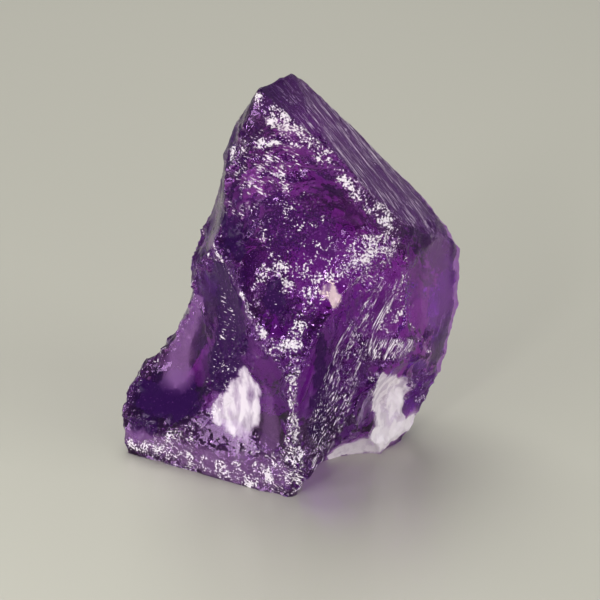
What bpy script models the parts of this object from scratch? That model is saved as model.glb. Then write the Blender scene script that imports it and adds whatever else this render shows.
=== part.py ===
"""Rough amethyst: one broken piece of purple quartz, resting on a flat fracture.

The chunk is built the way it was broken. A hull through its named corners gives the
block that was split off, and shell-like (conchoidal) scars are knocked out of it, each
a dish with its own curve. The surface is then given its relief: flakes crushed along
the ridges and in rough patches, flutes and ripples on the faces that have them. Metres,
+Z up, origin under the middle of the stone, at the flat face it stands on.
"""

import itertools
import math

import bmesh
import bpy
import numpy as np
from mathutils import Matrix, Vector
from mathutils.kdtree import KDTree

MM = 0.001

# The grain of the relief, and how many triangles the finished stone may have.
VOXEL = 0.25 * MM
MOST_TRIANGLES = 9300

# Purple quartz: a deep violet that is nearly black where the stone is thick.
COLOUR = (0.10, 0.03, 0.16, 1.0)
ROUGHNESS = 0.12

# Where the middle of the finished stone's foot falls among the corners, in millimetres.
MIDDLE = (-0.03, 0.31, 0.0)

# Corners of the block in millimetres: x to the right, y away from the front, z up.
CORNERS = {
    # crest of the peak
    "peak_left": (-3.0, -4.6, 40.6),
    "peak_top": (0.2, 0.9, 40.1),
    "peak_right": (1.4, 2.2, 38.9),
    "peak_back": (-1.5, 4.0, 37.8),
    # front edge of the long upper-right face
    "crest_middle": (5.3, -6.2, 33.1),
    "crest_end": (11.1, -4.4, 26.6),
    # upper-right outline
    "slope_upper": (6.9, 4.0, 32.5),
    "slope_middle": (12.2, 4.6, 26.7),
    "shoulder": (15.0, 4.6, 23.6),
    "shoulder_front": (14.6, 1.2, 23.9),
    "right_upper": (17.2, 3.4, 20.2),
    "right_middle": (17.0, 3.2, 14.2),
    "right_lower": (15.4, 2.0, 7.2),
    "right_foot": (13.2, 1.4, 3.0),
    # left edge of the smooth right face
    "pane_low": (12.6, -3.4, 14.0),
    # central ridge, from the brow down to the toe
    "brow": (4.5, -8.4, 23.6),
    "ridge_upper": (0.3, -10.0, 18.0),
    "ridge_middle": (0.3, -11.4, 12.6),
    "ridge_lower": (1.2, -12.0, 6.9),
    "ridge_foot": (1.9, -11.2, 1.4),
    # left outline
    "left_upper": (-5.2, -1.0, 35.8),
    "left_middle": (-7.2, -1.4, 29.6),
    "knob": (-8.8, -4.6, 24.8),
    "heel_back": (-15.8, 2.5, 6.7),
    "heel_left": (-17.5, -0.8, 3.7),
    # foot, carried below the level that the flat base is cut at
    "toe": (-0.6, -11.4, -1.0),
    "base_left": (-16.4, -2.2, -1.0),
    "base_right": (11.0, 0.7, -1.0),
    "base_back_left": (-11.0, 8.6, -1.0),
    "base_back_right": (6.0, 10.6, -1.0),
    # hidden back
    "back_left": (-5.6, 6.6, 18.4),
    "back_spine": (2.4, 10.2, 24.0),
    "back_right": (13.2, 9.2, 15.0),
    "back_low": (-2.0, 12.4, 7.0),
}

# Scars: where the dish is deepest, the way it faces, and its radius of curvature, in
# millimetres. A long scar is stretched along the direction that its blow travelled.
SCARS = {
    "left_notch": {
        "deepest": (-10.4, 0.5, 14.8),
        "faces": (-0.93, 0.15, 0.32),
        "radius": 12.2,
        "along": (0.0, 0.91, -0.42),
        "stretch": 2.0,
    },
    "left_hollow": {"deepest": (-6.3, -4.2, 16.6), "faces": (-0.82, -0.56, 0.05), "radius": 15.0},
    "left_bay": {"deepest": (-10.4, -1.2, 8.2), "faces": (-0.66, -0.60, 0.44), "radius": 12.0},
    "window": {"deepest": (-5.2, -7.2, 4.8), "faces": (-0.48, -0.80, 0.36), "radius": 14.6},
    "fan": {"deepest": (6.4, -6.7, 13.8), "faces": (0.53, -0.84, 0.10), "radius": 24.0},
    "valley": {
        "deepest": (3.9, -7.7, 13.0),
        "faces": (0.50, -0.86, 0.05),
        "radius": 5.0,
        "along": (0.40, 0.19, 0.88),
        "stretch": 3.0,
    },
    "front": {"deepest": (-0.2, -5.0, 26.3), "faces": (-0.01, -0.98, 0.19), "radius": 25.0},
    "brow_hollow": {"deepest": (-5.6, -4.8, 25.6), "faces": (-0.45, -0.85, 0.25), "radius": 4.5},
    "eye_hollow": {"deepest": (-0.6, -6.7, 21.2), "faces": (-0.20, -0.95, -0.10), "radius": 3.4},
    "pane": {"deepest": (13.7, -0.6, 17.0), "faces": (0.80, -0.60, 0.05), "radius": 30.0},
    "pale_patch": {"deepest": (10.5, -1.0, 4.6), "faces": (0.60, -0.78, -0.10), "radius": 13.0},
    "undercut": {"deepest": (4.7, -4.3, 2.2), "faces": (0.45, -0.65, -0.60), "radius": 8.0},
    "left_edge": {"deepest": (-6.8, -0.6, 26.6), "faces": (-0.96, -0.10, 0.20), "radius": 18.0},
    "back_upper": {"deepest": (2.0, 7.5, 28.0), "faces": (0.10, 0.95, 0.30), "radius": 22.0},
    "back_lower": {"deepest": (-6.0, 9.5, 9.0), "faces": (-0.50, 0.85, 0.0), "radius": 18.0},
    "back_right": {"deepest": (11.0, 7.5, 9.0), "faces": (0.75, 0.60, -0.10), "radius": 20.0},
    "back_flank": {"deepest": (-2.8, 5.4, 25.0), "faces": (-0.62, 0.76, 0.20), "radius": 11.0},
    "back_shelf": {"deepest": (4.0, 9.4, 12.0), "faces": (0.30, 0.90, -0.25), "radius": 8.0},
}

# An edge this sharp or more is a ridge. Its crushed band is this wide, with chips of
# this width and depth. Some stretches are chipped more than others.
RIDGE_ANGLE = math.radians(14)
RIDGE_BAND = 2.4
RIDGE_CHIP = (1.6, 0.75)
RIDGE_STRETCH = 3.6

# Where the ridges stayed crisp: centre, reach, and the share of the chips' depth there.
CRISP = {
    "peak": ((-1.0, -1.5, 40.3), 8.0, 0.3),
    "slope": ((8.5, 3.0, 31.0), 14.0, 0.2),
    "right_rim": ((17.0, 3.0, 15.0), 10.0, 0.4),
    "left_outline": ((-6.5, -1.0, 31.0), 10.0, 0.4),
}

# Crushed patches: centre, reach, width of the chips along x, y and z, and their depth.
CRUSHED = {
    "shoulder": ((7.8, -6.0, 23.3), 5.0, (1.5, 1.5, 1.9), 0.7),
    "pale_patch": ((11.4, -1.5, 5.9), 4.5, (1.9, 1.9, 2.6), 0.9),
    "toe": ((-0.9, -11.0, 2.2), 4.5, (1.8, 1.8, 1.8), 0.9),
    "left_rim": ((-12.0, -5.0, 1.4), 5.0, (1.8, 1.8, 1.4), 0.7),
    "front_top": ((-2.2, -4.5, 32.6), 6.0, (2.8, 2.0, 1.5), 0.9),
    "front_left": ((-5.0, -4.5, 27.5), 4.0, (1.4, 1.6, 2.2), 0.6),
    "back_top": ((4.0, 7.0, 30.0), 5.0, (2.2, 2.2, 2.2), 0.8),
    "back_foot": ((3.0, 11.0, 3.0), 6.0, (2.4, 2.4, 2.0), 0.8),
}

# Flutes: centre, reach, the way the face points, the way the flutes run, their spacing
# and their depth.
FLUTES = {
    "crest_face": ((7.0, -1.0, 31.0), 16.0, (0.74, -0.15, 0.65), (0.61, -0.27, -0.75), 1.1, 0.14),
    "fan": ((7.0, -7.0, 15.0), 11.0, (0.53, -0.84, 0.10), (0.44, 0.19, 0.88), 1.3, 0.22),
    "back_spine": ((-4.0, 9.0, 16.0), 10.0, (-0.60, 0.78, 0.20), (0.30, 0.0, 0.95), 1.6, 0.18),
}

# Ripples that spread from the point of a blow: centre, reach, blow, spacing and depth.
RIPPLES = {
    "left_hollow": ((-6.0, -6.0, 16.5), 6.0, (-8.8, -4.6, 26.5), 1.5, 0.16),
    "window": ((-5.5, -8.5, 6.0), 6.5, (-0.6, -11.4, -1.0), 1.8, 0.07),
    "back_right": ((11.0, 7.5, 9.0), 8.0, (16.0, 6.0, 18.0), 1.9, 0.16),
}


def clear_scene():
    for old in list(bpy.data.objects):
        bpy.data.objects.remove(old, do_unlink=True)


def collection(name):
    made = bpy.data.collections.new(name)
    bpy.context.scene.collection.children.link(made)
    return made


def hull_of(name, corners, home):
    """The convex block through the given corners."""
    mesh = bpy.data.meshes.new(name)
    shape = bmesh.new()
    for corner in corners:
        shape.verts.new(Vector(corner) * MM)
    bmesh.ops.convex_hull(shape, input=shape.verts)
    loose = [vert for vert in shape.verts if not vert.link_faces]
    bmesh.ops.delete(shape, geom=loose, context="VERTS")
    bmesh.ops.recalc_face_normals(shape, faces=shape.faces)
    shape.to_mesh(mesh)
    shape.free()
    made = bpy.data.objects.new(name, mesh)
    home.objects.link(made)
    return made


def scar_cutter(name, home, deepest, faces, radius, along=(0, 0, 1), stretch=1.0):
    """A rounded cutter that touches the stone's heart side at the scar's deepest point."""
    out = Vector(faces).normalized()
    travel = Vector(along) - out * Vector(along).dot(out)
    travel.normalize()
    across = travel.cross(out)
    mesh = bpy.data.meshes.new(name)
    shape = bmesh.new()
    bmesh.ops.create_icosphere(shape, subdivisions=6 if radius > 10 else 5, radius=radius * MM)
    stretched = Matrix.Diagonal((1.0, stretch, 1.0, 1.0))
    turned = Matrix((across, travel, out)).transposed().to_4x4()
    placed = Matrix.Translation((Vector(deepest) + out * radius) * MM)
    bmesh.ops.transform(shape, matrix=placed @ turned @ stretched, verts=shape.verts)
    shape.to_mesh(mesh)
    shape.free()
    made = bpy.data.objects.new(name, mesh)
    made.hide_render = True
    made.display_type = "WIRE"
    home.objects.link(made)
    return made


def knock_out(stone, cutter):
    cut = stone.modifiers.new(cutter.name, "BOOLEAN")
    cut.operation = "DIFFERENCE"
    cut.object = cutter
    cut.solver = "EXACT"


def settle(stone):
    """Makes the stone's mesh what its modifiers show, and clears them."""
    shown = stone.evaluated_get(bpy.context.evaluated_depsgraph_get())
    mesh = bpy.data.meshes.new_from_object(shown)
    stone.modifiers.clear()
    old = stone.data
    stone.data = mesh
    bpy.data.meshes.remove(old)


def ridge_tree(stone):
    """Points every 0.2 mm along the sharp edges, for finding how near a ridge is."""
    shape = bmesh.new()
    shape.from_mesh(stone.data)
    points = []
    for edge in shape.edges:
        if len(edge.link_faces) == 2 and edge.calc_face_angle() > RIDGE_ANGLE:
            start, end = edge.verts[0].co, edge.verts[1].co
            count = int(edge.calc_length() / (0.2 * MM)) + 1
            points += [start.lerp(end, step / count) for step in range(count + 1)]
    shape.free()
    tree = KDTree(len(points))
    for index, point in enumerate(points):
        tree.insert(point, index)
    tree.balance()
    return tree


def falloff(distance, reach):
    """1 at the centre, easing to 0 at the reach."""
    near = np.clip(1.0 - distance / reach, 0.0, 1.0)
    return near * near * (3.0 - 2.0 * near)


def patch(points, centre, reach):
    """1 in the inner half of a patch, easing to 0 at its reach."""
    return np.minimum(1.0, 2.0 * falloff(np.linalg.norm(points - centre, axis=1), reach))


def chips(points, width, seed):
    """Height of a surface scooped into small bowls with sharp rims, from about 0 to 0.8."""
    draw = np.random.default_rng(seed)
    jitter = draw.uniform(0.0, 1.0, (4093, 3))
    tilts = draw.normal(0.0, 0.3, (4093, 3))
    scaled = points / width
    cells = np.floor(scaled).astype(np.int64)
    height = np.full(len(points), np.inf)
    for step in itertools.product((-1, 0, 1), repeat=3):
        cell = cells + step
        pick = (cell @ np.array((73856093, 19349663, 83492791))) % 4093
        away = scaled - cell - jitter[pick]
        height = np.minimum(height, (away * (away + tilts[pick])).sum(axis=1))
    return height


def lumps(points, size, seed):
    """Smooth random values from 0 to 1 that change over about the given size."""
    draw = np.random.default_rng(seed).uniform(0.0, 1.0, 4093)
    cells = np.floor(points / size).astype(np.int64)
    share = points / size - cells
    share = share * share * (3.0 - 2.0 * share)
    value = np.zeros(len(points))
    for corner in itertools.product((0, 1), repeat=3):
        pick = ((cells + corner) @ np.array((73856093, 19349663, 83492791))) % 4093
        value += draw[pick] * np.where(corner, share, 1.0 - share).prod(axis=1)
    return value


def ridge_wear(points):
    """How deeply a ridge is chipped at each point, as a share of the chips' depth."""
    wear = 0.2 + 1.2 * lumps(points, RIDGE_STRETCH, 12)
    for centre, reach, share in CRISP.values():
        wear *= 1.0 - (1.0 - share) * patch(points, centre, reach)
    return wear


def creases(coordinate, spacing, seed):
    """Random straight-sided grooves, from -1 to 0, across a coordinate."""
    draw = np.random.default_rng(seed)
    depths = draw.uniform(-1.0, 0.0, 512)
    places = np.arange(512) + draw.uniform(-0.35, 0.35, 512)
    return np.interp(coordinate / spacing + 256.0, places, depths)


def relief(points, normals, ridge_distance):
    """How far each point of the surface moves out, in millimetres."""
    width, depth = RIDGE_CHIP
    weight = ridge_wear(points) * falloff(ridge_distance, RIDGE_BAND)
    out = depth * weight * (chips(points, width, 11) - 0.4)
    for seed, (centre, reach, widths, depth) in enumerate(CRUSHED.values(), 21):
        out += depth * patch(points, centre, reach) * (chips(points, widths, seed) - 0.4)
    for seed, (centre, reach, faces, runs, spacing, depth) in enumerate(FLUTES.values(), 41):
        across = np.cross(faces, runs)
        facing = np.clip((normals @ np.array(faces) - 0.86) / 0.08, 0.0, 1.0)
        grooves = creases(points @ across / np.linalg.norm(across), spacing, seed)
        out += depth * facing * patch(points, centre, reach) * grooves
    for seed, (centre, reach, blow, spacing, depth) in enumerate(RIPPLES.values(), 61):
        travelled = np.linalg.norm(points - blow, axis=1)
        out += depth * patch(points, centre, reach) * creases(travelled, spacing, seed)
    return out


def weather(stone, tree):
    """Moves the surface by its relief, which dies away below the stone's foot."""
    mesh = stone.data
    count = len(mesh.vertices)
    points = np.empty(count * 3)
    normals = np.empty(count * 3)
    mesh.vertices.foreach_get("co", points)
    mesh.vertices.foreach_get("normal", normals)
    points = points.reshape(-1, 3) / MM
    normals = normals.reshape(-1, 3)
    gaps = np.array([tree.find(point * MM)[2] for point in points]) / MM
    out = relief(points, normals, gaps) * np.clip(points[:, 2] + 0.6, 0.0, 1.0)
    mesh.vertices.foreach_set("co", ((points + normals * out[:, None]) * MM).ravel())
    mesh.update()


def thin_out(stone, most):
    """Collapses triangles where the surface is plain, until the stone has few enough."""
    triangles = sum(len(face.vertices) - 2 for face in stone.data.polygons)
    fewer = stone.modifiers.new("fewer", "DECIMATE")
    fewer.ratio = most / triangles


def stand_on_base(stone):
    """Cuts the flat face at z = 0 and puts the origin under the middle of the stone."""
    shape = bmesh.new()
    shape.from_mesh(stone.data)
    every = shape.verts[:] + shape.edges[:] + shape.faces[:]
    cut = bmesh.ops.bisect_plane(
        shape, geom=every, dist=1e-7, plane_co=(0, 0, 0), plane_no=(0, 0, -1), clear_outer=True
    )
    rim = [piece for piece in cut["geom_cut"] if isinstance(piece, bmesh.types.BMEdge)]
    bmesh.ops.contextual_create(shape, geom=rim)
    bmesh.ops.triangulate(shape, faces=shape.faces)
    bmesh.ops.recalc_face_normals(shape, faces=shape.faces)
    bmesh.ops.translate(shape, vec=-Vector(MIDDLE) * MM, verts=shape.verts)
    shape.to_mesh(stone.data)
    shape.free()


def amethyst_material():
    material = bpy.data.materials.new("amethyst")
    material.use_nodes = True
    shader = material.node_tree.nodes["Principled BSDF"]
    shader.inputs["Base Color"].default_value = COLOUR
    shader.inputs["Roughness"].default_value = ROUGHNESS
    shader.inputs["Metallic"].default_value = 0.0
    return material


def amethyst(home, cutters):
    stone = hull_of("amethyst", CORNERS.values(), home)
    for scar, shape in SCARS.items():
        knock_out(stone, scar_cutter(scar, cutters, **shape))
    settle(stone)
    tree = ridge_tree(stone)
    grain = stone.modifiers.new("grain", "REMESH")
    grain.mode = "VOXEL"
    grain.voxel_size = VOXEL
    settle(stone)
    weather(stone, tree)
    thin_out(stone, MOST_TRIANGLES)
    settle(stone)
    stand_on_base(stone)
    stone.data.materials.append(amethyst_material())
    stone.data.shade_smooth()
    stone.data.set_sharp_from_angle(angle=math.radians(24))
    return stone


clear_scene()
STONE = collection("rough_amethyst")
CUTTERS = collection("cutters")
amethyst(STONE, CUTTERS)
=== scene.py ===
"""The looks of a rough amethyst: one clear, deep violet piece of quartz on a pale floor.

The stone is built again at a finer grain than the solid in the frame, from the same
corners, scars and chips, with the small chips, striations and steps that the solid
leaves out. It replaces the frame's stone and stays inside its box.
"""

import itertools
import math

import bmesh
import bpy
import numpy as np
from mathutils import Matrix, Vector
from mathutils.kdtree import KDTree


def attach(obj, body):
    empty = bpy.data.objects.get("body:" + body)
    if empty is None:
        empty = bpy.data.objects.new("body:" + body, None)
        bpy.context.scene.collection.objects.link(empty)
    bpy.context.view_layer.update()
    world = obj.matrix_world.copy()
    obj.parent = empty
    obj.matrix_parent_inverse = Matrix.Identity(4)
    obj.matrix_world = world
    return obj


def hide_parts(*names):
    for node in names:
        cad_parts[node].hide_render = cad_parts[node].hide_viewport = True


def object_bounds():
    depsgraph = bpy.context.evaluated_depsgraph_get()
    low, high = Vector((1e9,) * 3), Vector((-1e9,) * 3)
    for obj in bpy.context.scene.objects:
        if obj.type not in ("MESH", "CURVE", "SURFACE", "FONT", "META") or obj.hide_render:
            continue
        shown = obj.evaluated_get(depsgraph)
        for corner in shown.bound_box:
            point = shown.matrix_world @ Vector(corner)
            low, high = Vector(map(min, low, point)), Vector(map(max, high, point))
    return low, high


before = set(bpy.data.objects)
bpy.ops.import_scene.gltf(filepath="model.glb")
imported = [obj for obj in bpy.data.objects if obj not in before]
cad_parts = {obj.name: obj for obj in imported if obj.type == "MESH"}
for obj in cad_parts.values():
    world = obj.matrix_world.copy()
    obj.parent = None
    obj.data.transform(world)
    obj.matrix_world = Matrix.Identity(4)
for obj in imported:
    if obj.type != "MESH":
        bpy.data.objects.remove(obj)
CAD_LOW, CAD_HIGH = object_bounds()

MM = 0.001

# The grain of the surface, and how many triangles the stone may have.
VOXEL = 0.155 * MM
MOST_TRIANGLES = 190000

# Faces that meet at more than this angle keep a sharp edge between them.
SHARP_ANGLE = math.radians(32)

# Where the middle of the stone's foot falls among the corners, in millimetres.
MIDDLE = (-0.03, 0.31, 0.0)

# Corners of the block in millimetres: x to the right, y away from the front, z up.
CORNERS = {
    # crest of the peak
    "peak_left": (-3.0, -4.6, 40.6),
    "peak_top": (0.2, 0.9, 40.1),
    "peak_right": (1.4, 2.2, 38.9),
    "peak_back": (-1.5, 4.0, 37.8),
    # front edge of the long upper-right face
    "crest_middle": (5.3, -6.2, 33.1),
    "crest_end": (11.1, -4.4, 26.6),
    # upper-right outline
    "slope_upper": (6.9, 4.0, 32.5),
    "slope_middle": (12.2, 4.6, 26.7),
    "shoulder": (15.0, 4.6, 23.6),
    "shoulder_front": (14.6, 1.2, 23.9),
    "right_upper": (17.2, 3.4, 20.2),
    "right_middle": (17.0, 3.2, 14.2),
    "right_lower": (15.4, 2.0, 7.2),
    "right_foot": (13.2, 1.4, 3.0),
    # left edge of the smooth right face
    "pane_low": (12.6, -3.4, 14.0),
    # central ridge, from the brow down to the toe
    "brow": (4.5, -8.4, 23.6),
    "ridge_upper": (0.3, -10.0, 18.0),
    "ridge_middle": (0.3, -11.4, 12.6),
    "ridge_lower": (1.2, -12.0, 6.9),
    "ridge_foot": (1.9, -11.2, 1.4),
    # left outline
    "left_upper": (-5.2, -1.0, 35.8),
    "left_middle": (-7.2, -1.4, 29.6),
    "knob": (-8.8, -4.6, 24.8),
    "heel_back": (-15.8, 2.5, 6.7),
    "heel_left": (-17.5, -0.8, 3.7),
    # foot, carried below the level that the flat base is cut at
    "toe": (-0.6, -11.4, -1.0),
    "base_left": (-16.4, -2.2, -1.0),
    "base_right": (11.0, 0.7, -1.0),
    "base_back_left": (-11.0, 8.6, -1.0),
    "base_back_right": (6.0, 10.6, -1.0),
    # hidden back
    "back_left": (-5.6, 6.6, 18.4),
    "back_spine": (2.4, 10.2, 24.0),
    "back_right": (13.2, 9.2, 15.0),
    "back_low": (-2.0, 12.4, 7.0),
}

# Scars: where the dish is deepest, the way it faces, and its radius of curvature, in
# millimetres. A long scar is stretched along the direction that its blow travelled.
SCARS = {
    "left_notch": {
        "deepest": (-10.4, 0.5, 14.8),
        "faces": (-0.93, 0.15, 0.32),
        "radius": 12.2,
        "along": (0.0, 0.91, -0.42),
        "stretch": 2.0,
    },
    "left_hollow": {"deepest": (-6.3, -4.2, 16.6), "faces": (-0.82, -0.56, 0.05), "radius": 15.0},
    "left_bay": {"deepest": (-10.4, -1.2, 8.2), "faces": (-0.66, -0.60, 0.44), "radius": 12.0},
    "window": {"deepest": (-5.2, -7.2, 4.8), "faces": (-0.48, -0.80, 0.36), "radius": 14.6},
    "fan": {"deepest": (6.4, -6.7, 13.8), "faces": (0.53, -0.84, 0.10), "radius": 24.0},
    "valley": {
        "deepest": (3.9, -7.7, 13.0),
        "faces": (0.50, -0.86, 0.05),
        "radius": 5.0,
        "along": (0.40, 0.19, 0.88),
        "stretch": 3.0,
    },
    "front": {"deepest": (-0.2, -5.0, 26.3), "faces": (-0.01, -0.98, 0.19), "radius": 25.0},
    "brow_hollow": {"deepest": (-5.6, -4.8, 25.6), "faces": (-0.45, -0.85, 0.25), "radius": 4.5},
    "eye_hollow": {"deepest": (-0.6, -6.7, 21.2), "faces": (-0.20, -0.95, -0.10), "radius": 3.4},
    "pane": {"deepest": (13.7, -0.6, 17.0), "faces": (0.80, -0.60, 0.05), "radius": 30.0},
    "pale_patch": {"deepest": (10.5, -1.0, 4.6), "faces": (0.60, -0.78, -0.10), "radius": 13.0},
    "undercut": {"deepest": (4.7, -4.3, 2.2), "faces": (0.45, -0.65, -0.60), "radius": 8.0},
    "left_edge": {"deepest": (-6.8, -0.6, 26.6), "faces": (-0.96, -0.10, 0.20), "radius": 18.0},
    "back_upper": {"deepest": (2.0, 7.5, 28.0), "faces": (0.10, 0.95, 0.30), "radius": 22.0},
    "back_lower": {"deepest": (-6.0, 9.5, 9.0), "faces": (-0.50, 0.85, 0.0), "radius": 18.0},
    "back_right": {"deepest": (11.0, 7.5, 9.0), "faces": (0.75, 0.60, -0.10), "radius": 20.0},
    "back_flank": {"deepest": (-2.8, 5.4, 25.0), "faces": (-0.62, 0.76, 0.20), "radius": 11.0},
    "back_shelf": {"deepest": (4.0, 9.4, 12.0), "faces": (0.30, 0.90, -0.25), "radius": 8.0},
}

# A scar with a radius over this, in millimetres, is cut with finer facets.
WIDE_SCAR = 10

# An edge this sharp or more is a ridge, and points are set this closely along it.
RIDGE_ANGLE = math.radians(14)
RIDGE_STEP = 0.2 * MM

# A ridge's chips come in two sizes, each with the width of its band along the ridge, the
# width of a chip, its depth, and the seed of its pattern. Stretches of about this length
# are chipped more or less than others, and flakes whiten a ridge as far as its reach.
RIDGE_CHIPS = ((2.4, 1.6, 0.75, 11), (1.5, 0.6, 0.34, 13))
RIDGE_STRETCH = 3.6
RIDGE_REACH = 1.1

# Where the ridges stayed crisp: centre, reach, and the share of the chips' depth there.
CRISP = {
    "peak": ((-1.0, -1.5, 40.3), 8.0, 0.3),
    "slope": ((8.5, 3.0, 31.0), 14.0, 0.2),
    "right_rim": ((17.0, 3.0, 15.0), 10.0, 0.4),
    "left_outline": ((-6.5, -1.0, 31.0), 10.0, 0.4),
}

# Crushed patches: centre, reach, width of the chips along x, y and z, and their depth.
CRUSHED = {
    "shoulder": ((7.8, -6.0, 23.3), 5.0, (1.5, 1.5, 1.9), 0.7),
    "pale_patch": ((11.4, -1.5, 5.9), 4.5, (1.9, 1.9, 2.6), 0.9),
    "toe": ((-0.9, -11.0, 2.2), 4.5, (1.8, 1.8, 1.8), 0.9),
    "left_rim": ((-12.0, -5.0, 1.4), 5.0, (1.8, 1.8, 1.4), 0.7),
    "front_top": ((-2.2, -4.5, 32.6), 6.0, (2.8, 2.0, 1.5), 0.9),
    "front_left": ((-5.0, -4.5, 27.5), 4.0, (1.4, 1.6, 2.2), 0.6),
    "back_top": ((4.0, 7.0, 30.0), 5.0, (2.2, 2.2, 2.2), 0.8),
    "back_foot": ((3.0, 11.0, 3.0), 6.0, (2.4, 2.4, 2.0), 0.8),
}

# A crushed patch has smaller chips on its chips, by this share of their width and depth.
SMALLER = 0.42

# The ways that marks run: down the long upper-right face, up the fan, across the crushed
# patches, level across the left hollow, and up through the milky quartz.
CREST_RUN = (0.61, -0.27, -0.75)
FAN_RUN = (0.44, 0.19, 0.88)
FLOW_RUN = (0.86, 0.10, -0.50)
LEVEL_RUN = (0.55, -0.82, 0.12)
VEIL_RUN = (0.05, 0.30, 0.95)

# Flutes: centre, reach, the way the face points, the way the flutes run, their spacing
# and their depth.
FLUTES = {
    "crest_face": ((7.0, -1.0, 31.0), 16.0, (0.74, -0.15, 0.65), CREST_RUN, 1.1, 0.14),
    "fan": ((7.0, -7.0, 15.0), 11.0, (0.53, -0.84, 0.10), FAN_RUN, 1.3, 0.22),
    "back_spine": ((-4.0, 9.0, 16.0), 10.0, (-0.60, 0.78, 0.20), (0.30, 0.0, 0.95), 1.6, 0.18),
}

# Flutes have finer lines on them, by this share of their spacing and depth.
FINER = 0.38

# How squarely the surface must point the flutes' way before they show, as a cosine, and
# how much more it takes until they are at full depth.
FLUTED_FROM = 0.86
FLUTED_RISE = 0.08

# Ripples that spread from the point of a blow: centre, reach, blow, spacing and depth.
RIPPLES = {
    "left_hollow": ((-6.0, -6.0, 16.5), 6.0, (-8.8, -4.6, 26.5), 1.5, 0.16),
    "window": ((-5.5, -8.5, 6.0), 6.5, (-0.6, -11.4, -1.0), 1.8, 0.07),
    "back_right": ((11.0, 7.5, 9.0), 8.0, (16.0, 6.0, 18.0), 1.9, 0.16),
}

# The relief has died away this far below the foot, in millimetres, and is full 1 mm higher.
RELIEF_BELOW = 0.6

# A random pattern has this many draws, and its cells pick theirs by this key.
DRAWS = 4093
CELL_KEY = np.array((73856093, 19349663, 83492791))

# How many grooves a row of creases has in all.
GROOVES = 512

# How wide the shards are that some of the seams below are broken into, and how much of a
# point's place is taken from the middle of its shard.
SHARD = 1.3
SHARD_SHARE = 0.85

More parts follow.
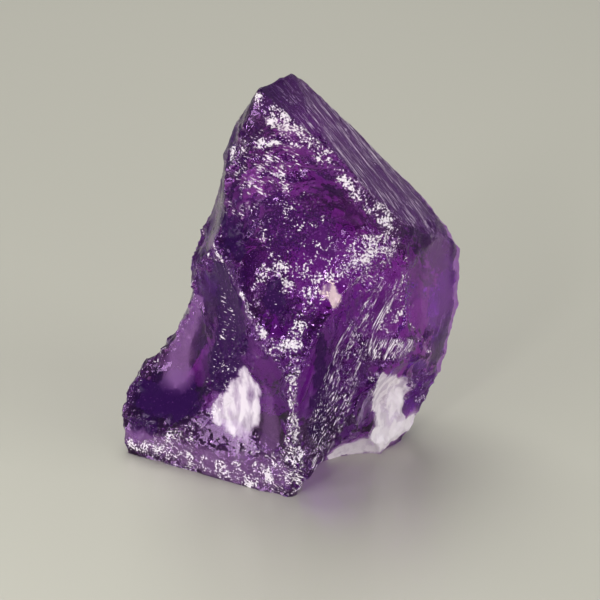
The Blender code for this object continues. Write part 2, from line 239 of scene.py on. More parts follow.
# Seams of flaked quartz: how densely it is flaked, 1 or a little more where it is packed,
# then stations along the seam, each x, y, z and how far the flakes reach.
FLAKED = {
    "crest": (
        1.1,
        (
            (-2.9, -4.8, 39.4, 1.3),
            (1.0, -5.4, 35.6, 2.3),
            (5.2, -6.1, 31.8, 2.0),
            (10.4, -5.0, 26.6, 1.5),
        ),
    ),
    "upper_left": (
        0.9,
        (
            (-5.4, -3.4, 34.0, 0.9),
            (-5.0, -4.4, 29.5, 0.7),
            (-6.2, -4.6, 25.7, 0.6),
            (-8.2, -2.6, 23.2, 1.3),
        ),
    ),
    "left_ridge": (
        1.05,
        (
            (-7.6, -4.6, 23.8, 1.4),
            (-5.2, -7.0, 20.8, 0.8),
            (-3.9, -8.3, 18.2, 0.8),
            (-2.2, -9.3, 16.3, 0.9),
            (-0.5, -9.7, 15.9, 1.2),
        ),
    ),
    "central_ridge": (
        0.98,
        (
            (4.4, -6.6, 22.7, 2.0),
            (2.2, -7.6, 19.7, 1.7),
            (0.6, -9.0, 17.1, 1.3),
            (0.2, -11.2, 12.6, 1.2),
            (0.4, -11.2, 8.8, 1.5),
            (0.6, -11.2, 5.0, 2.0),
        ),
    ),
    "upper_terrace": (1.15, ((-2.6, -5.0, 35.4, 0.9), (2.4, -5.4, 33.4, 1.0))),
    "lower_terrace": (1.15, ((-3.6, -5.0, 30.4, 0.8), (-0.4, -5.0, 28.4, 0.9))),
    "fan_top": (0.95, ((10.6, -4.6, 17.6, 2.0), (9.6, -5.2, 15.6, 1.8))),
    "toe": (0.7, ((0.4, -11.2, 4.0, 2.4), (-0.5, -11.4, 1.5, 3.2))),
    "left_crest": (
        0.8,
        (
            (-2.6, -9.3, 16.3, 0.7),
            (-3.9, -7.1, 12.5, 0.9),
            (-6.5, -5.6, 7.9, 1.1),
            (-9.4, -5.7, 4.6, 1.6),
            (-13.6, -3.6, 2.0, 1.4),
        ),
    ),
    "foot_rim": (
        0.9,
        (
            (-17.0, -1.8, 1.2, 0.9),
            (-12.6, -4.3, 1.0, 1.2),
            (-7.5, -7.3, 1.2, 1.7),
            (-2.8, -10.1, 1.4, 2.4),
        ),
    ),
    "heel": (0.7, ((-17.2, -1.2, 3.4, 0.9), (-15.9, 1.4, 6.4, 0.8), (-13.4, 1.6, 9.0, 0.7))),
    "shoulder": (1.0, ((3.6, -7.0, 21.6, 1.8), (6.6, -6.4, 24.4, 2.6), (9.6, -5.4, 25.0, 2.4))),
    "pane_edge": (
        0.7,
        (
            (11.6, -4.1, 22.3, 0.9),
            (11.2, -4.2, 18.6, 1.8),
            (12.8, -2.6, 13.6, 0.9),
            (14.1, -0.7, 11.0, 0.7),
        ),
    ),
    "right_foot": (0.9, ((8.1, -6.0, 11.4, 1.0), (9.4, -2.6, 4.0, 1.4), (13.7, 0.6, 4.6, 1.6))),
    "front": (0.85, ((-2.8, -5.2, 30.0, 4.5), (1.4, -5.6, 24.5, 6.0), (-1.6, -6.8, 20.0, 3.5))),
    "left_hollow": (0.7, ((-6.3, -5.1, 20.6, 2.6), (-6.0, -5.6, 14.0, 4.0))),
    "crest_face": (0.4, ((-0.6, -1.6, 39.4, 3.6), (6.4, -1.2, 32.0, 5.0), (12.4, 0.0, 25.6, 4.0))),
    "left_face": (0.6, ((-5.4, -1.4, 36.5, 1.6), (-6.6, -1.8, 32.0, 2.0), (-7.4, -2.0, 28.0, 2.0))),
    "back_spine": (
        0.8,
        (
            (4.0, 7.6, 29.5, 3.0),
            (2.6, 9.6, 24.0, 1.8),
            (1.5, 9.8, 17.0, 1.6),
            (2.2, 11.0, 9.0, 1.8),
            (3.0, 11.0, 3.5, 3.2),
        ),
    ),
    "back_rim": (
        0.7,
        (
            (-10.6, 8.0, 1.0, 1.4),
            (-3.0, 11.4, 1.2, 1.8),
            (6.0, 10.4, 1.2, 1.8),
            (12.0, 5.4, 2.0, 1.4),
        ),
    ),
    "window_edge": (0.6, ((-3.0, -8.6, 4.4, 1.6), (-7.6, -6.4, 3.4, 1.6))),
}

# Seams where the quartz is milky through and through, and seams where the same white is painted
# light (a painted highlight on the window scar, a painted glint on the brow chip, painted light on
# the undercut rim that lies in shade): how milky, and the stations.
MILKY_AND_PAINTED_LIGHT = {
    # Painted highlight: the window scar is painted white as a reflection of the left softbox, on top
    # of the real reflection in its lower part.
    "window": (
        1.0,
        ((-4.2, -6.5, 12.2, 0.9), (-4.4, -6.8, 9.8, 2.7), (-5.4, -6.9, 7.2, 4.7)),
    ),
    "window_low": (0.6, ((-5.6, -7.2, 6.0, 3.8), (-5.0, -7.8, 4.0, 3.2))),
    # Painted glint: the small brow chip is painted peach-white, standing in for a lamp's reflection.
    "brow_chip": (0.9, ((3.7, -7.6, 20.9, 1.3), (4.4, -7.5, 20.0, 1.4))),
    "pale_patch": (
        1.15,
        ((8.7, -5.2, 10.6, 1.1), (10.2, -2.2, 6.4, 3.8), (10.6, -1.6, 3.0, 3.4)),
    ),
    "shoulder": (0.4, ((7.2, -6.3, 24.0, 1.8), (9.3, -5.8, 24.2, 2.6))),
    # Painted light: the undercut rim lies in shade and is painted pale to lift it.
    "undercut_rim": (
        1.25,
        ((4.5, -3.6, 0.5, 1.4), (8.6, -2.5, 1.4, 2.4), (12.5, 0.5, 2.0, 2.0)),
    ),
}

# Seams where the white is peach: a painted glint on the brow chip, written the same way.
PAINTED_GLINT_SEAMS = {"brow_chip": (1.0, ((3.7, -7.6, 20.9, 1.8), (4.4, -7.5, 20.0, 1.8)))}

# Seams of painted glow, where the stone is thin and the light through it is painted on in lilac,
# written the same way.
PAINTED_GLOW_SEAMS = {
    "pane": (0.4, ((14.4, 0.6, 21.4, 3.4), (14.6, 0.4, 15.5, 4.2))),
    "ridge_left": (0.35, ((-2.8, -8.8, 10.5, 1.6), (-2.2, -9.8, 5.5, 2.2))),
    "right_rim": (
        0.7,
        (
            (13.4, 4.6, 25.5, 0.9),
            (15.0, 4.6, 23.6, 1.4),
            (17.2, 3.4, 20.2, 1.3),
            (17.0, 3.2, 14.2, 1.2),
            (15.4, 2.0, 7.2, 1.2),
        ),
    ),
    "rim": (0.45, ((-16.5, -2.2, 2.0, 1.6), (-8.0, -6.8, 1.6, 2.2), (-1.5, -11.0, 2.0, 2.8))),
    "notch": (0.5, ((-9.6, -1.6, 17.0, 1.4), (-11.0, 0.8, 11.5, 2.4), (-11.4, -0.4, 8.4, 2.6))),
    # Painted light: the same shaded undercut rim is painted a glowing lilac.
    "foot": (0.9, ((4.5, -3.6, 0.5, 1.8), (8.6, -2.5, 1.4, 2.8), (12.5, 0.5, 2.0, 2.4))),
}

# Seams of short level lines on a dark face, written the same way.
RIPPLED = {
    "left_hollow": (0.8, ((-6.6, -4.4, 18.0, 2.0), (-6.3, -5.0, 13.0, 3.6), (-7.4, -4.4, 9.0, 2.6))),
}

# Seams with thin streaks that run along the fan's flutes, written the same way.
STREAKED = {
    "stripes": (1.25, ((8.8, -5.4, 13.4, 2.0), (11.4, -3.8, 12.8, 2.0))),
    "fan": (
        1.0,
        (
            (9.8, -5.0, 19.6, 2.6),
            (6.6, -6.8, 14.5, 3.6),
            (3.8, -8.8, 7.2, 3.2),
            (2.4, -10.2, 3.5, 1.8),
        ),
    ),
}

# Seams of painted shade, in the hollows and on faces that the lights leave dark: there the violet is
# painted deepest and blended to a near-black surface. Written the same way. Little is flaked there.
PAINTED_SHADE_SEAMS = {
    "brow_hollow": (1.0, ((-6.1, -4.6, 26.6, 1.8), (-5.6, -4.9, 24.4, 2.0))),
    "eye_hollow": (1.0, ((-1.8, -6.8, 20.3, 1.7), (-0.8, -7.3, 18.4, 1.6))),
    "left_hollow": (
        0.9,
        ((-6.3, -5.1, 20.6, 3.4), (-6.0, -5.6, 15.0, 4.2), (-6.6, -4.4, 10.5, 3.6)),
    ),
    "bay": (1.0, ((-14.2, -1.2, 6.4, 3.6), (-10.0, -2.4, 6.0, 3.8))),
    "small_facet": (0.9, ((-15.6, -2.3, 4.0, 1.3), (-14.5, -2.9, 3.1, 1.5))),
    "valley": (0.8, ((2.8, -8.3, 16.5, 1.2), (3.4, -8.0, 11.0, 1.9), (2.4, -9.2, 5.0, 1.4))),
    "front": (0.5, ((-2.2, -5.2, 27.5, 3.4), (2.8, -5.3, 25.5, 3.4))),
    "crest_face": (0.45, ((-0.6, -1.6, 39.4, 5.0), (6.4, -1.2, 32.0, 7.0), (12.4, 0.0, 25.6, 6.0))),
    "pane": (0.3, ((14.4, 0.6, 21.4, 4.0), (14.6, 0.4, 15.5, 5.0))),
    "fan": (0.3, ((9.0, -5.4, 17.0, 4.0), (6.0, -7.0, 11.0, 4.0), (4.4, -7.8, 6.0, 3.0))),
    "left_outline": (
        0.8,
        ((-5.6, -1.0, 35.0, 1.8), (-7.2, -1.6, 29.6, 2.4), (-7.8, -2.4, 26.5, 2.0)),
    ),
    "front_left": (0.6, ((-5.0, -4.2, 31.0, 1.4), (-5.3, -4.6, 28.0, 2.0))),
}

# Clear quartz: how it bends light, the colour that light turns in it, and how fast.
QUARTZ_IOR = 1.544
QUARTZ_COLOUR = (0.78, 0.12, 0.87, 1.0)
QUARTZ_DENSITY = 290.0

# Colours of the surface: clear quartz where it is light and where it is darkened by its tone and by
# painted shade, its reflections, the painted shadow of the hollows, flaked quartz from dim to a
# painted glow, white for milk and for painted highlights, and the peach of a painted glint.
LIGHT_VIOLET = (0.90, 0.66, 0.96, 1.0)
TONE_AND_SHADE_VIOLET = (0.26, 0.12, 0.34, 1.0)
VIOLET_SHEEN = (0.72, 0.42, 0.86, 1.0)
SHADOW_VIOLET = (0.020, 0.003, 0.048, 1.0)
DIM_LILAC = (0.32, 0.08, 0.44, 1.0)
PAINTED_GLOW_LILAC = (0.78, 0.40, 0.90, 1.0)
MILK_AND_HIGHLIGHT_WHITE = (0.98, 0.90, 0.95, 1.0)
GLINT_PEACH = (1.0, 0.80, 0.72, 1.0)

# A mark shows where its pattern and the numbers noted on the stone add up to the first
# value, and is whole from the second.
SPECKS_SHOW = (2.10, 2.16)
DUST_SHOWS = (1.27, 1.38)
STREAKS_SHOW = (1.86, 1.98)
FLOW_SHOWS = (2.02, 2.14)
RIPPLES_SHOW = (2.00, 2.12)
STRIATION_SHEEN_SHOWS = (1.50, 1.60)
MILK_SHOWS = (0.86, 1.26)
VEILS_SHOW = (0.42, 0.60)

# The floor, and the soft glow of the room.
FLOOR_COLOUR = (0.435, 0.425, 0.36, 1.0)
ROOM_COLOUR = (0.95, 0.96, 1.0, 1.0)
ROOM_GLOW = 0.21

# Lights: place, what they face, width and height, all in metres, and brightness.
LIGHTS = {
    "left_box": ((-0.116, -0.087, 0.034), (0.0, 0.0, 0.008), (0.092, 0.055), 9.0),
    "top_box": ((-0.05, 0.16, 0.34), (0.0, 0.0, 0.02), (0.30, 0.22), 6.0),
    "right_box": ((0.27, -0.13, 0.13), (0.0, 0.0, 0.02), (0.14, 0.14), 6.0),
    "front_box": ((-0.12, -0.29, 0.18), (0.0, 0.0, 0.02), (0.05, 0.05), 30.0),
    "fill_box": ((0.14, -0.26, 0.05), (0.005, 0.0, 0.008), (0.10, 0.05), 11.0),
}


def hull_of(name, corners):
    """The convex block through the given corners."""
    mesh = bpy.data.meshes.new(name)
    shape = bmesh.new()
    for corner in corners:
        shape.verts.new(Vector(corner) * MM)
    bmesh.ops.convex_hull(shape, input=shape.verts)
    loose = [vert for vert in shape.verts if not vert.link_faces]
    bmesh.ops.delete(shape, geom=loose, context="VERTS")
    bmesh.ops.recalc_face_normals(shape, faces=shape.faces)
    shape.to_mesh(mesh)
    shape.free()
    made = bpy.data.objects.new(name, mesh)
    bpy.context.scene.collection.objects.link(made)
    return made


def scar_cutter(name, deepest, faces, radius, along=(0, 0, 1), stretch=1.0):
    """A rounded cutter that reaches in to the scar's deepest point."""
    out = Vector(faces).normalized()
    travel = Vector(along) - out * Vector(along).dot(out)
    travel.normalize()
    across = travel.cross(out)
    mesh = bpy.data.meshes.new(name)
    shape = bmesh.new()
    fineness = 6 if radius > WIDE_SCAR else 5
    bmesh.ops.create_icosphere(shape, subdivisions=fineness, radius=radius * MM)
    stretched = Matrix.Diagonal((1.0, stretch, 1.0, 1.0))
    turned = Matrix((across, travel, out)).transposed().to_4x4()
    placed = Matrix.Translation((Vector(deepest) + out * radius) * MM)
    bmesh.ops.transform(shape, matrix=placed @ turned @ stretched, verts=shape.verts)
    shape.to_mesh(mesh)
    shape.free()
    made = bpy.data.objects.new(name, mesh)
    bpy.context.scene.collection.objects.link(made)
    return made


def settle(stone):
    """Makes the stone's mesh what its modifiers show, and clears them."""
    shown = stone.evaluated_get(bpy.context.evaluated_depsgraph_get())
    mesh = bpy.data.meshes.new_from_object(shown)
    stone.modifiers.clear()
    old = stone.data
    stone.data = mesh
    bpy.data.meshes.remove(old)


def knock_out_scars(stone):
    cutters = [scar_cutter(scar, **shape) for scar, shape in SCARS.items()]
    for cutter in cutters:
        cut = stone.modifiers.new(cutter.name, "BOOLEAN")
        cut.operation = "DIFFERENCE"
        cut.object = cutter
        cut.solver = "EXACT"
    settle(stone)
    for cutter in cutters:
        bpy.data.objects.remove(cutter)


def ridge_tree(stone):
    """Closely set points along the sharp edges, for finding how near a ridge is."""
    shape = bmesh.new()
    shape.from_mesh(stone.data)
    points = []
    for edge in shape.edges:
        if len(edge.link_faces) == 2 and edge.calc_face_angle() > RIDGE_ANGLE:
            start, end = edge.verts[0].co, edge.verts[1].co
            count = int(edge.calc_length() / RIDGE_STEP) + 1
            points += [start.lerp(end, step / count) for step in range(count + 1)]
    shape.free()
    tree = KDTree(len(points))
    for index, point in enumerate(points):
        tree.insert(point, index)
    tree.balance()
    return tree


def falloff(distance, reach):
    """1 at the centre, easing to 0 at the reach."""
    near = np.clip(1.0 - distance / reach, 0.0, 1.0)
    return near * near * (3.0 - 2.0 * near)


def patch(points, centre, reach):
    """1 in the inner half of a patch, easing to 0 at its reach."""
    return np.minimum(1.0, 2.0 * falloff(np.linalg.norm(points - centre, axis=1), reach))


def picked(cells):
    """Which of a pattern's draws each cell takes."""
    return (cells @ CELL_KEY) % DRAWS


def chips(points, width, seed):
    """Height of a surface scooped into small bowls with sharp rims, from about 0 to 0.8."""
    draw = np.random.default_rng(seed)
    jitter = draw.uniform(0.0, 1.0, (DRAWS, 3))
    tilts = draw.normal(0.0, 0.3, (DRAWS, 3))
    scaled = points / width
    cells = np.floor(scaled).astype(np.int64)
    height = np.full(len(points), np.inf)
    for step in itertools.product((-1, 0, 1), repeat=3):
        cell = cells + step
        pick = picked(cell)
        away = scaled - cell - jitter[pick]
        height = np.minimum(height, (away * (away + tilts[pick])).sum(axis=1))
    return height


def chipped(points, weight, width, depth, seed):
    """Chips of a width and depth where the weight is above nothing, and no chips elsewhere."""
    out = np.zeros(len(points))
    here = weight > 0.001
    out[here] = depth * weight[here] * (chips(points[here], width, seed) - 0.4)
    return out


def lumps(points, size, seed):
    """Smooth random values from 0 to 1 that change over about the given size."""
    draw = np.random.default_rng(seed).uniform(0.0, 1.0, DRAWS)
    cells = np.floor(points / size).astype(np.int64)
    share = points / size - cells
    share = share * share * (3.0 - 2.0 * share)
    value = np.zeros(len(points))
    for corner in itertools.product((0, 1), repeat=3):
        value += draw[picked(cells + corner)] * np.where(corner, share, 1.0 - share).prod(axis=1)
    return value


def ridge_wear(points):
    """How deeply a ridge is chipped at each point, as a share of the chips' depth."""
    wear = 0.2 + 1.2 * lumps(points, RIDGE_STRETCH, seed=12)
    for centre, reach, share in CRISP.values():
        wear *= 1.0 - (1.0 - share) * patch(points, centre, reach)
    return wear


def creases(coordinate, spacing, seed):
    """Random straight-sided grooves, from -1 to 0, across a coordinate."""
    draw = np.random.default_rng(seed)
    depths = draw.uniform(-1.0, 0.0, GROOVES)
    places = np.arange(GROOVES) + draw.uniform(-0.35, 0.35, GROOVES)
    return np.interp(coordinate / spacing + GROOVES / 2, places, depths)


def fluted(points, normals, flute):
    """How much of a flute's face each point is on, and its place across the flutes."""
    centre, reach, faces, runs, _, _ = flute
    across = np.cross(faces, runs)
    facing = np.clip((normals @ np.array(faces) - FLUTED_FROM) / FLUTED_RISE, 0.0, 1.0)
    return facing * patch(points, centre, reach), points @ across / np.linalg.norm(across)


def relief(points, normals, ridge_distance):
    """How far each point of the surface moves out, in millimetres."""
    out = np.zeros(len(points))
    wear = ridge_wear(points)
    for band, width, depth, seed in RIDGE_CHIPS:
        out += chipped(points, wear * falloff(ridge_distance, band), width, depth, seed)
    for seed, (centre, reach, widths, depth) in enumerate(CRUSHED.values(), 21):
        weight = patch(points, centre, reach)
        out += chipped(points, weight, widths, depth, seed)
        smaller = np.array(widths) * SMALLER
        out += chipped(points, weight, smaller, depth * SMALLER, seed + 200)
    for seed, flute in enumerate(FLUTES.values(), 41):
        weight, place = fluted(points, normals, flute)
        spacing, depth = flute[4:]
        out += depth * weight * creases(place, spacing, seed)
        out += depth * FINER * weight * creases(place, spacing * FINER, seed + 200)
    for seed, (centre, reach, blow, spacing, depth) in enumerate(RIPPLES.values(), 61):
        travelled = np.linalg.norm(points - blow, axis=1)
        out += depth * patch(points, centre, reach) * creases(travelled, spacing, seed)
    return out


def points_of(mesh):
    """The mesh's points in millimetres."""
    points = np.empty(len(mesh.vertices) * 3)
    mesh.vertices.foreach_get("co", points)
    return points.reshape(-1, 3) / MM


def normals_of(mesh):
    normals = np.empty(len(mesh.vertices) * 3)
    mesh.vertices.foreach_get("normal", normals)
    return normals.reshape(-1, 3)


def gaps_to(tree, points):
    """How far each point is from the nearest ridge, in millimetres."""
    return np.array([tree.find(point * MM)[2] for point in points]) / MM


def weather(stone, tree):
    """Moves the surface by its relief, which dies away below the stone's foot."""
    mesh = stone.data
    points = points_of(mesh)
    normals = normals_of(mesh)
    above = np.clip(points[:, 2] + RELIEF_BELOW, 0.0, 1.0)
    out = relief(points, normals, gaps_to(tree, points)) * above
    mesh.vertices.foreach_set("co", ((points + normals * out[:, None]) * MM).ravel())
    mesh.update()


def stand_on_base(stone):
    """Cuts the flat face at z = 0 and puts the origin under the middle of the stone."""
    shape = bmesh.new()
    shape.from_mesh(stone.data)
    every = shape.verts[:] + shape.edges[:] + shape.faces[:]
    cut = bmesh.ops.bisect_plane(
        shape, geom=every, dist=1e-7, plane_co=(0, 0, 0), plane_no=(0, 0, -1), clear_outer=True
    )
    rim = [piece for piece in cut["geom_cut"] if isinstance(piece, bmesh.types.BMEdge)]
    bmesh.ops.contextual_create(shape, geom=rim)
    bmesh.ops.triangulate(shape, faces=shape.faces)
    bmesh.ops.recalc_face_normals(shape, faces=shape.faces)
    bmesh.ops.translate(shape, vec=-Vector(MIDDLE) * MM, verts=shape.verts)
    shape.to_mesh(stone.data)
    shape.free()


def keep_in_box(stone):
    """Holds every point inside the frame's box."""
    points = points_of(stone.data) * MM
    points = np.clip(points, np.array(CAD_LOW), np.array(CAD_HIGH))
    stone.data.vertices.foreach_set("co", points.ravel())
    stone.data.update()


def shards(points, size, seed):
    """The middle of the straight-sided shard, of about the given size, that a point is in."""
    jitter = np.random.default_rng(seed).uniform(0.0, 1.0, (DRAWS, 3))
    scaled = points / size
    cells = np.floor(scaled).astype(np.int64)
    nearest = np.full(len(points), np.inf)
    middle = np.zeros(points.shape)
    for step in itertools.product((-1, 0, 1), repeat=3):
        cell = cells + step
        here = cell + jitter[picked(cell)]
        gap = np.linalg.norm(scaled - here, axis=1)
        closer = gap < nearest
        nearest[closer] = gap[closer]
        middle[closer] = here[closer]
    return middle * size


def along(points, stations):
    """1 on a seam, easing to 0 at its reach, which changes from station to station."""
    best = np.zeros(len(points))
    for start, end in itertools.pairwise(np.array(stations)):
        run = end[:3] - start[:3]
        share = np.clip((points - start[:3]) @ run / (run @ run), 0.0, 1.0)
        gap = np.linalg.norm(points - start[:3] - share[:, None] * run, axis=1)
        reach = start[3] + share * (end[3] - start[3])
        best = np.maximum(best, falloff(gap, reach))
    return best


def seams(points, named):
    """The strongest of several seams at each point, each full in its inner half."""
    best = np.zeros(len(points))
    for strength, stations in named:
        best = np.maximum(best, strength * np.minimum(1.0, 2.0 * along(points, stations)))
    return best


def note(stone, name, values):
    """Keeps one number for each point, for the finish to read."""
    kept = stone.data.attributes.new(name, "FLOAT", "POINT")
    kept.data.foreach_set("value", values.astype(np.float32))


def note_surface(stone, tree):
    """Writes what the finish needs to know of each point, from 0 to 1 or a little more."""
    points = points_of(stone.data) + MIDDLE
    normals = normals_of(stone.data)
    pieces = (1.0 - SHARD_SHARE) * points + SHARD_SHARE * shards(points, SHARD, seed=15)
    half_broken = 0.5 * (points + pieces)
    ridge = falloff(gaps_to(tree, points), RIDGE_REACH) * np.clip(ridge_wear(points), 0.0, 1.0)
    painted_shade = seams(pieces, PAINTED_SHADE_SEAMS.values())
    # Wear, crushing and flakes are held back where shade is painted, so the shaded places stay dark.
    outside_shade = 1.0 - 0.6 * painted_shade
    crushed = np.zeros(len(points))
    for centre, reach, _, _ in CRUSHED.values():
        crushed = np.maximum(crushed, patch(points, centre, reach))
    flaked = seams(points, FLAKED.values())
    flaked *= np.clip(0.55 + 0.8 * lumps(pieces, size=2.0, seed=14), 0.0, 1.0)
    hidden = np.clip(1.6 * normals[:, 1], 0.0, 1.0)
    note(stone, "ridge", ridge * outside_shade)
    note(stone, "crushed", crushed * outside_shade)
    note(stone, "flaked", flaked * outside_shade)
    note(stone, "milky_and_lit", seams(half_broken, MILKY_AND_PAINTED_LIGHT.values()))
    note(stone, "warm", seams(pieces, PAINTED_GLINT_SEAMS.values()))
    note(stone, "painted_glow", seams(half_broken, PAINTED_GLOW_SEAMS.values()))
    note(stone, "tone", lumps(pieces, size=0.7, seed=16))
    note(stone, "rippled", seams(points, RIPPLED.values()))
    note(stone, "painted_shade", painted_shade)
    note(stone, "hidden", hidden)
    note(stone, "crest_face", fluted(points, normals, FLUTES["crest_face"])[0])
    note(stone, "streaked", seams(points, STREAKED.values()))


def build_stone():
    stone = hull_of("rough_stone", CORNERS.values())
    knock_out_scars(stone)
    tree = ridge_tree(stone)
    grain = stone.modifiers.new("grain", "REMESH")
    grain.mode = "VOXEL"
    grain.voxel_size = VOXEL
    settle(stone)
    weather(stone, tree)
    triangles = sum(len(face.vertices) - 2 for face in stone.data.polygons)
    if triangles > MOST_TRIANGLES:
        fewer = stone.modifiers.new("fewer", "DECIMATE")
        fewer.ratio = MOST_TRIANGLES / triangles
        settle(stone)
    stand_on_base(stone)
    keep_in_box(stone)
    note_surface(stone, tree)
    stone.data.shade_smooth()
    stone.data.set_sharp_from_angle(angle=SHARP_ANGLE)
    return stone


class Value:
    """A number that a finish's nodes work out, with the arithmetic written as Python."""

    def __init__(self, finish, socket):
        self.finish = finish
        self.socket = socket

    def of(self, name):
        """Another output of the same node."""
        return Value(self.finish, self.socket.node.outputs[name])

    def maths(self, operation, *values):
        inputs = dict(enumerate(values))
        return self.finish.node("ShaderNodeMath", {"operation": operation}, inputs)

    def __add__(self, other):
        return self.maths("ADD", self, other)

    def __mul__(self, other):
        return self.maths("MULTIPLY", self, other)

    __radd__ = __add__
    __rmul__ = __mul__


class Finish:
    """One material, built from nodes in metres of the object's own space."""

    def __init__(self, name):
        self.material = bpy.data.materials.new(name)
        self.material.use_nodes = True
        self.tree = self.material.node_tree
        self.tree.nodes.clear()

    def node(self, kind, settings=None, inputs=None, output=0):
        """Any node: its kind, its settings, then the numbers or links of its inputs."""
        made = self.tree.nodes.new(kind)
        for name, value in (settings or {}).items():
            setattr(made, name, value)
        for name, value in (inputs or {}).items():
            if isinstance(value, Value):
                self.tree.links.new(value.socket, made.inputs[name])
            else:
                made.inputs[name].default_value = value
        return Value(self, made.outputs[output]) if made.outputs else None

    def place(self):
        """The point's place on the object, in millimetres."""
        here = self.node("ShaderNodeTexCoord").of("Object")
        return self.vector("SCALE", here, Scale=1.0 / MM)

    def vector(self, operation, *vectors, output=0, **inputs):
        """A Vector Math node."""
        sockets = dict(enumerate(vectors)) | inputs
        return self.node("ShaderNodeVectorMath", {"operation": operation}, sockets, output)

    def noise(self, place, size, detail=3.0, roughness=0.5):
        """Noise from 0 to 1 with lumps of about the given size in millimetres."""
        inputs = {"Vector": place, "Scale": 1.0 / size, "Detail": detail, "Roughness": roughness}
        return self.node("ShaderNodeTexNoise", None, inputs)

    def stretched(self, place, direction, times):
        """The place drawn out along a direction, so that a pattern on it runs that way."""
        length = math.sqrt(sum(part * part for part in direction))
        along = tuple(part / length for part in direction)
        travelled = self.vector("DOT_PRODUCT", place, along, output=1)
        back = self.vector("SCALE", along, Scale=travelled * (1.0 - 1.0 / times))
        return self.vector("SUBTRACT", place, back)

    def larger(self, first, second):
        return self.node("ShaderNodeMath", {"operation": "MAXIMUM"}, {0: first, 1: second})

    def step(self, value, low, high):
        """0 below low, 1 above high, and a smooth rise between."""
        inputs = {"Value": value, "From Min": low, "From Max": high}
        return self.node("ShaderNodeMapRange", {"interpolation_type": "SMOOTHSTEP"}, inputs)

    def mix(self, factor, first, second):
        """A colour between two colours."""
        inputs = {0: factor, 6: first, 7: second}
        return self.node("ShaderNodeMix", {"data_type": "RGBA"}, inputs, output=2)

    def noted(self, name):
        """One of the numbers kept on the stone's points."""
        return self.node("ShaderNodeAttribute", {"attribute_name": name}).of("Fac")

    def flakes(self, place, size):
        """Height, in millimetres, of a surface of flat flakes that each lean their own way."""
        cell = self.node("ShaderNodeTexVoronoi", None, {"Vector": place, "Scale": 1.0 / size})
        lean = self.vector("SUBTRACT", cell.of("Color"), (0.5, 0.5, 0.5))
        away = self.vector("SUBTRACT", place, cell.of("Position"))
        return self.vector("DOT_PRODUCT", away, lean, output=1)

    def bump(self, height):
        """The normal of a surface with this height in millimetres."""
        return self.node("ShaderNodeBump", None, {"Height": height, "Distance": MM})

    def blend(self, factor, first, second):
        """A surface between two surfaces."""
        return self.node("ShaderNodeMixShader", None, {0: factor, 1: first, 2: second})

    def principled(self, **inputs):
        named = {name.replace("_", " "): value for name, value in inputs.items()}
        return self.node("ShaderNodeBsdfPrincipled", None, named)

    def output(self, surface, volume=None):
        inputs = {"Surface": surface}
        if volume is not None:
            inputs["Volume"] = volume
        self.node("ShaderNodeOutputMaterial", None, inputs)
        return self.material


def white_marks(finish, place, broken, grain, clumps, fan_lines, level_lines):
    """Where flaked quartz is white: specks, thin streaks, torn patches and level lines. The specks
    are frost on the chips, and are also painted glints where chips would catch the lights.
    """
    # Specks: frost on the chips, and painted glints.
    specks = finish.step(grain * 1.8 + clumps * 1.2 + broken * 0.56, *SPECKS_SHOW)

    fan_bands = finish.noise(finish.stretched(place, FAN_RUN, 30.0), 0.6, detail=2.0)
    streaked = finish.noted("streaked")
    streaks = finish.step(fan_lines * 2.0 + fan_bands * 0.4 + streaked * 0.50, *STREAKS_SHOW)

    flow_place = finish.stretched(place, FLOW_RUN, 6.0)
    terraces = finish.noise(flow_place, 0.16, detail=2.0, roughness=0.6)
    crushed = finish.noted("crushed")
    flow = finish.step(terraces * 2.0 + clumps * 0.8 + crushed * 0.46, *FLOW_SHOWS)

    rippled = finish.noted("rippled")
    ripples = finish.step(level_lines * 2.0 + clumps * 0.8 + rippled * 0.42, *RIPPLES_SHOW)
    return finish.larger(finish.larger(specks, ripples), finish.larger(streaks, flow))


def milk_and_painted_light(finish, place):
    """How white the milky quartz is, with veils that run through it; the same white also paints a
    highlight, a glint and light in shade where the seams say.
    """
    milky_and_lit = finish.noted("milky_and_lit")
    veils = finish.noise(finish.stretched(place, VEIL_RUN, 2.5), 0.9, detail=3.0)
    shown = milky_and_lit * finish.step(veils + milky_and_lit * 0.8, *MILK_SHOWS)
    return shown * (finish.step(veils, *VEILS_SHOW) * 0.24 + milky_and_lit * 0.25 + 0.45)


def clear_quartz(finish, normal):
    """See-through violet, darker with its tone and with painted shade, and a little frosted at the
    back.
    """
    tone_and_shade = finish.larger(finish.noted("painted_shade"), finish.noted("tone") * 0.6)
    return finish.principled(
        Base_Color=finish.mix(tone_and_shade, LIGHT_VIOLET, TONE_AND_SHADE_VIOLET),
        Roughness=finish.noted("hidden") * 0.30 + 0.03,
        IOR=QUARTZ_IOR,
        Specular_IOR_Level=0.3,
        Specular_Tint=VIOLET_SHEEN,
        Transmission_Weight=1.0,
        Normal=normal,
    )


# Painted shadow: a near-black surface with little reflection, which the shaded places are blended
# towards.
def shadow_quartz(finish, normal):
    return finish.principled(
        Base_Color=SHADOW_VIOLET,
        Roughness=0.35,
        IOR=QUARTZ_IOR,
        Specular_IOR_Level=0.06,
        Normal=normal,
    )


def pale_quartz(finish, normal, paleness):
    """Lilac where it is dusty, with a painted lilac glow where it is thin, and white where it is
    flaked or milky and where highlights, glints and light are painted.
    """
    lilac = finish.mix(finish.noted("painted_glow"), DIM_LILAC, PAINTED_GLOW_LILAC)
    # The peach is a painted glint.
    white = finish.mix(finish.noted("warm"), MILK_AND_HIGHLIGHT_WHITE, GLINT_PEACH)
    return finish.principled(
        Base_Color=finish.mix(paleness, lilac, white),
        Roughness=0.4,
        IOR=QUARTZ_IOR,
        Specular_IOR_Level=0.2,
        Transmission_Weight=0.15,
        Normal=normal,
    )


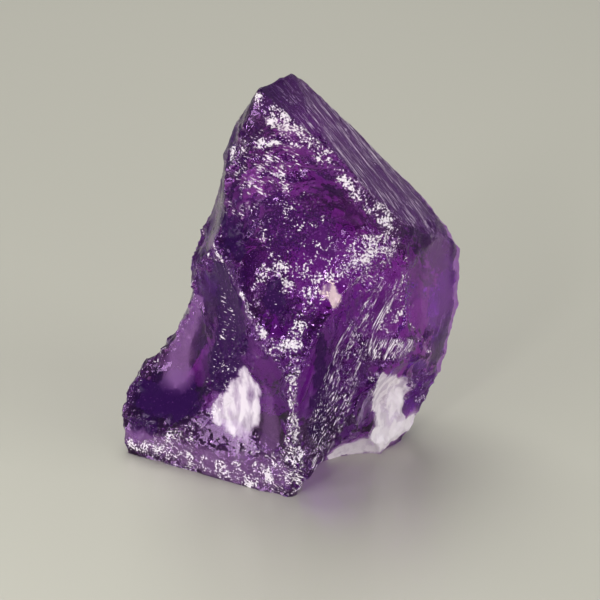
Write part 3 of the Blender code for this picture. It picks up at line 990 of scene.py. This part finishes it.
def amethyst_finish():
    """Clear violet quartz: glossy where it split clean, white where it is flaked, with painted shade
    in the hollows, a painted glow on thin edges, and painted highlights and glints.
    """
    finish = Finish("amethyst_clear")
    place = finish.place()
    painted_shade = finish.noted("painted_shade")
    crest_face = finish.noted("crest_face")
    worn = finish.larger(finish.noted("ridge") * 0.7, finish.noted("crushed") * 0.4)
    broken = finish.larger(finish.noted("flaked"), worn)

    grain = finish.noise(place, 0.22, detail=3.0, roughness=0.6)
    clumps = finish.noise(place, 1.2, detail=3.0)
    fan_place = finish.stretched(place, FAN_RUN, 30.0)
    fan_lines = finish.noise(fan_place, 0.11, detail=2.0, roughness=0.6)
    level_place = finish.stretched(place, LEVEL_RUN, 6.0)
    level_lines = finish.noise(level_place, 0.17, detail=2.0, roughness=0.6)
    crest_place = finish.stretched(place, CREST_RUN, 26.0)
    crest_lines = finish.noise(crest_place, 0.12, detail=3.0, roughness=0.7)
    crest_bands = finish.noise(crest_place, 0.8, detail=2.0)

    white = white_marks(finish, place, broken, grain, clumps, fan_lines, level_lines)
    # The crest face's striations are real relief; their pale lines are painted highlights.
    striations_and_sheen = finish.step(crest_lines * 2.0 + crest_bands * 0.7, *STRIATION_SHEEN_SHOWS) * crest_face
    paleness = finish.larger(white, finish.larger(milk_and_painted_light(finish, place), striations_and_sheen * 0.95))
    dust = finish.step(grain * 2.0 + broken * 0.25, *DUST_SHOWS)

    facets = finish.flakes(place, 0.30) * (broken * 0.28) + finish.flakes(place, 1.4) * 0.08
    waves = finish.noise(place, 2.2, detail=2.0) * 0.012
    scratches = crest_lines * crest_face * 0.20 + fan_lines * finish.noted("streaked") * 0.10
    steps = level_lines * finish.noted("rippled") * 0.08
    normal = finish.bump(facets + waves + scratches + steps)

    # Painted shade: clear quartz is blended towards the near-black shadow surface where shade is
    # painted.
    inside = finish.blend(painted_shade, clear_quartz(finish, normal), shadow_quartz(finish, normal))
    # Painted glow of the thin edges, and a lilac haze on the crest face.
    glow_and_crest_haze = finish.larger(finish.noted("painted_glow") * 0.6, crest_face * 0.22)
    clouded_and_glow = finish.larger(finish.larger(broken * 0.10, glow_and_crest_haze), dust * 0.32)
    share = finish.larger(clouded_and_glow, paleness * 0.95)
    surface = finish.blend(share, inside, pale_quartz(finish, normal, paleness))
    depth = {"Color": QUARTZ_COLOUR, "Density": QUARTZ_DENSITY}
    return finish.output(surface, finish.node("ShaderNodeVolumeAbsorption", None, depth))


def floor_finish():
    """Plain warm grey, with a soft sheen."""
    finish = Finish("pale_floor")
    return finish.output(finish.principled(Base_Color=FLOOR_COLOUR, Roughness=0.3))


def add_floor():
    bpy.ops.mesh.primitive_plane_add(size=4.0, location=(0.0, 1.0, 0.0))
    floor = bpy.context.object
    floor.name = "floor"
    floor.data.materials.append(floor_finish())


def softbox(name, place, aim, size, radiance):
    """A flat white light at a place, facing its aim, with the brightness that its face shows."""
    light = bpy.data.lights.new(name, "AREA")
    light.shape = "RECTANGLE"
    light.size, light.size_y = size
    light.energy = radiance * math.pi * size[0] * size[1]
    made = bpy.data.objects.new(name, light)
    made.location = place
    made.rotation_mode = "QUATERNION"
    made.rotation_quaternion = (Vector(aim) - Vector(place)).to_track_quat("-Z", "Y")
    bpy.context.scene.collection.objects.link(made)


def add_lights():
    for name, light in LIGHTS.items():
        softbox(name, *light)
    world = bpy.data.worlds.new("studio")
    world.use_nodes = True
    backdrop = world.node_tree.nodes["Background"]
    backdrop.inputs["Color"].default_value = ROOM_COLOUR
    backdrop.inputs["Strength"].default_value = ROOM_GLOW
    bpy.context.scene.world = world


def add_camera():
    """Looks along +Y from 25 degrees above, from 0.3 m, with 60 mm across the frame."""
    elevation = math.radians(25)
    distance = 0.300
    across = 0.060
    aim = Vector((1.0, 0.0, 16.25)) * MM - Vector(MIDDLE) * MM
    back = Vector((0.0, -math.cos(elevation), math.sin(elevation)))
    camera = bpy.data.cameras.new("camera")
    camera.sensor_width = 36.0
    camera.lens = camera.sensor_width * distance / across
    camera.clip_start = 0.01
    made = bpy.data.objects.new("camera", camera)
    made.location = aim + back * distance
    made.rotation_mode = "QUATERNION"
    made.rotation_quaternion = (-back).to_track_quat("-Z", "Y")
    bpy.context.scene.collection.objects.link(made)
    bpy.context.scene.camera = made


stone = build_stone()
stone.data.materials.clear()
stone.data.materials.append(amethyst_finish())
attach(stone, "root")
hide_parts("amethyst")
add_floor()
add_lights()
add_camera()
bpy.context.scene.view_settings.view_transform = "Standard"
